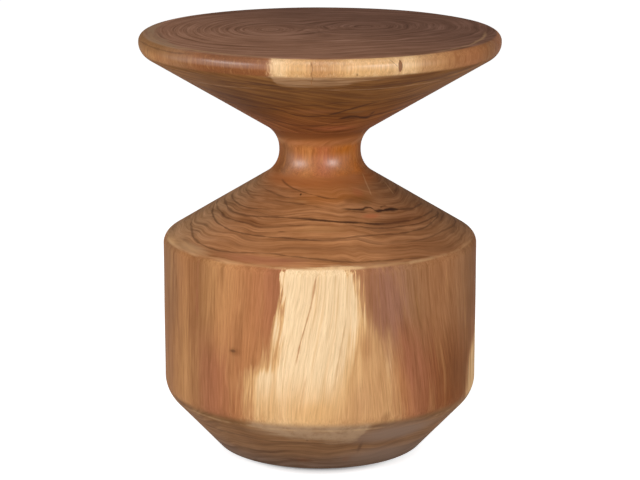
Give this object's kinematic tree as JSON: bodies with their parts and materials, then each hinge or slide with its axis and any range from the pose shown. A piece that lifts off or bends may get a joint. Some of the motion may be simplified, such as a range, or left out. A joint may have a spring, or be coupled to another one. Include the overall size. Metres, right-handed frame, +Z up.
{
  "type": "accent table",
  "caption": "Turned solid-wood accent table: a round top on a flared cone, a waisted neck, and a drum base with sloped shoulders and a tapered foot on felt glides.",
  "frame": {"origin": "on the floor, under the middle of the table", "axes": "+Z up along the turning axis; -Y towards the front that the picture shows, so +X is to its right"},
  "size_m": [0.4319, 0.432, 0.508],
  "materials": {
    "top_wood": "satin lacquer over dark heartwood with a pale band of sapwood at the rim",
    "pedestal_wood": "satin lacquer over brown heartwood with pale bands of sapwood",
    "dowel_wood": "bare sanded hardwood",
    "resin_fill": "brown resin, sanded flush with the rim",
    "glide_nylon": "moulded brown nylon",
    "glide_felt": "pressed brown felt",
    "screw_steel": "zinc-plated steel"
  },
  "bodies": {
    "root": {"table_top": "top_wood", "pedestal": "pedestal_wood", "neck_dowel": "dowel_wood", "rim_check_fill": "resin_fill", "glide_cup_1": "glide_nylon", "glide_cup_2": "glide_nylon", "glide_cup_3": "glide_nylon", "glide_cup_4": "glide_nylon", "glide_felt_1": "glide_felt", "glide_felt_2": "glide_felt", "glide_felt_3": "glide_felt", "glide_felt_4": "glide_felt", "glide_screws": "screw_steel"}
  },
  "joints": []
}
